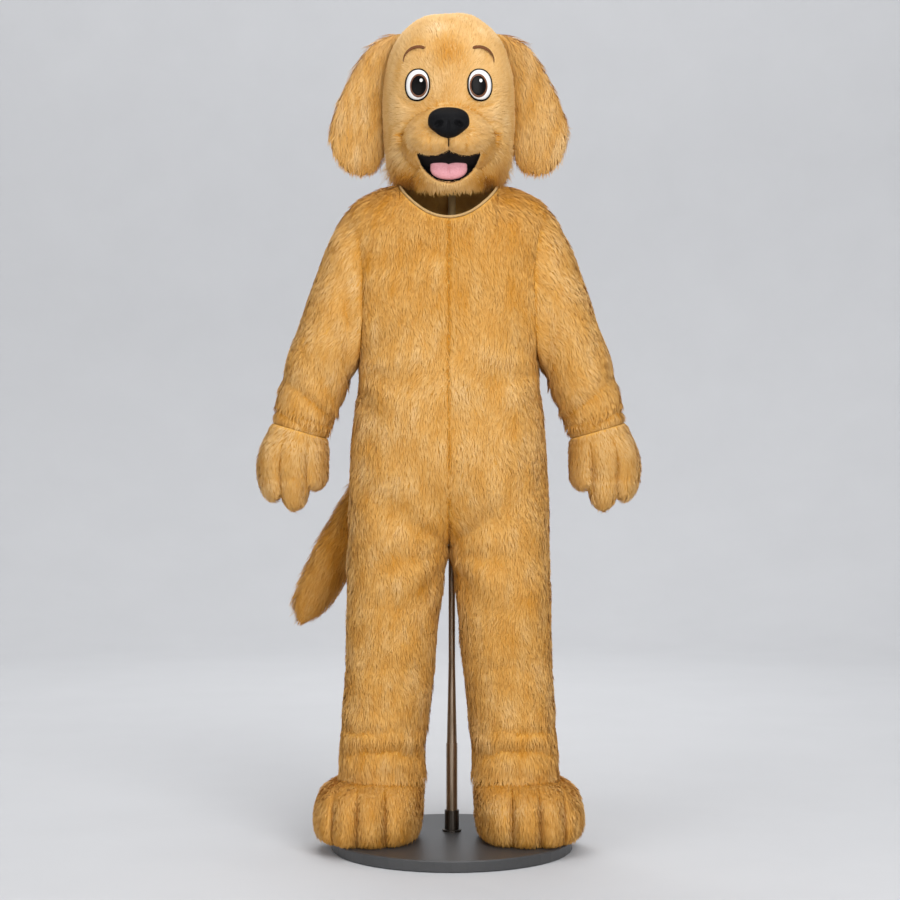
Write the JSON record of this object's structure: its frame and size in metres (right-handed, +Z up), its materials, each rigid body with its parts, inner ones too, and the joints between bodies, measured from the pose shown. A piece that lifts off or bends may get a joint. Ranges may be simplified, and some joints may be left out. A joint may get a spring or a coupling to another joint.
{
  "type": "dog mascot costume on display stand",
  "caption": "Full-body furry dog mascot costume with hollow head, floppy ears, mitts, boots and tail, on a round-based display stand.",
  "frame": {"origin": "centre of the stand base's underside", "axes": "+Z up, the costume faces -Y, and the wearer's left is +X"},
  "size_m": [0.871, 0.5546, 1.877],
  "materials": {
    "suit_fur": "matte",
    "head_fur": "matte",
    "tan_tape": "matte",
    "nose_black": "satin",
    "eye_white": "gloss",
    "brow_brown": "matte",
    "mouth_black": "matte",
    "tongue_pink": "matte",
    "base_grey": "satin",
    "pole_bronze": "satin",
    "zip_metal": "satin"
  },
  "bodies": {
    "costume_and_stand": {"boot_left": "suit_fur", "boot_right": "suit_fur", "head_cap": "tan_tape", "mitt_left": "suit_fur", "mitt_right": "suit_fur", "neck_binding": "tan_tape", "neck_post": "tan_tape", "pole_ferrule": "pole_bronze", "pole_lower": "pole_bronze", "pole_upper": "pole_bronze", "sleeve_left": "suit_fur", "sleeve_right": "suit_fur", "stand_base": "base_grey", "stand_socket": "pole_bronze", "suit_back_left": "suit_fur", "suit_back_right": "suit_fur", "suit_front_left": "suit_fur", "suit_front_right": "suit_fur", "tail": "suit_fur", "yoke_arm_left": "pole_bronze", "yoke_arm_right": "pole_bronze", "yoke_hub": "pole_bronze", "zip_chain": "tan_tape", "zip_slider": "zip_metal"},
    "head": {"head_shell": "head_fur", "ear_left": "head_fur", "ear_right": "head_fur", "eye_left": "eye_white", "eye_right": "eye_white", "brow_left": "brow_brown", "brow_right": "brow_brown", "nose": "nose_black", "mouth_lining": "mouth_black", "tongue": "tongue_pink"},
    "zip_pull": {"zip_tab": "zip_metal"}
  },
  "joints": [
    {"name": "head_lift", "type": "slide", "parent": "costume_and_stand", "child": "head", "axis": [0, 0, 1], "range_m": [0, 0.45]},
    {"name": "zip_pull_swing", "type": "hinge", "parent": "costume_and_stand", "child": "zip_pull", "pos_m": [-0.007, 0.10921, 1.4794], "axis": [1, 0, 0], "range_deg": [0, 110]}
  ]
}
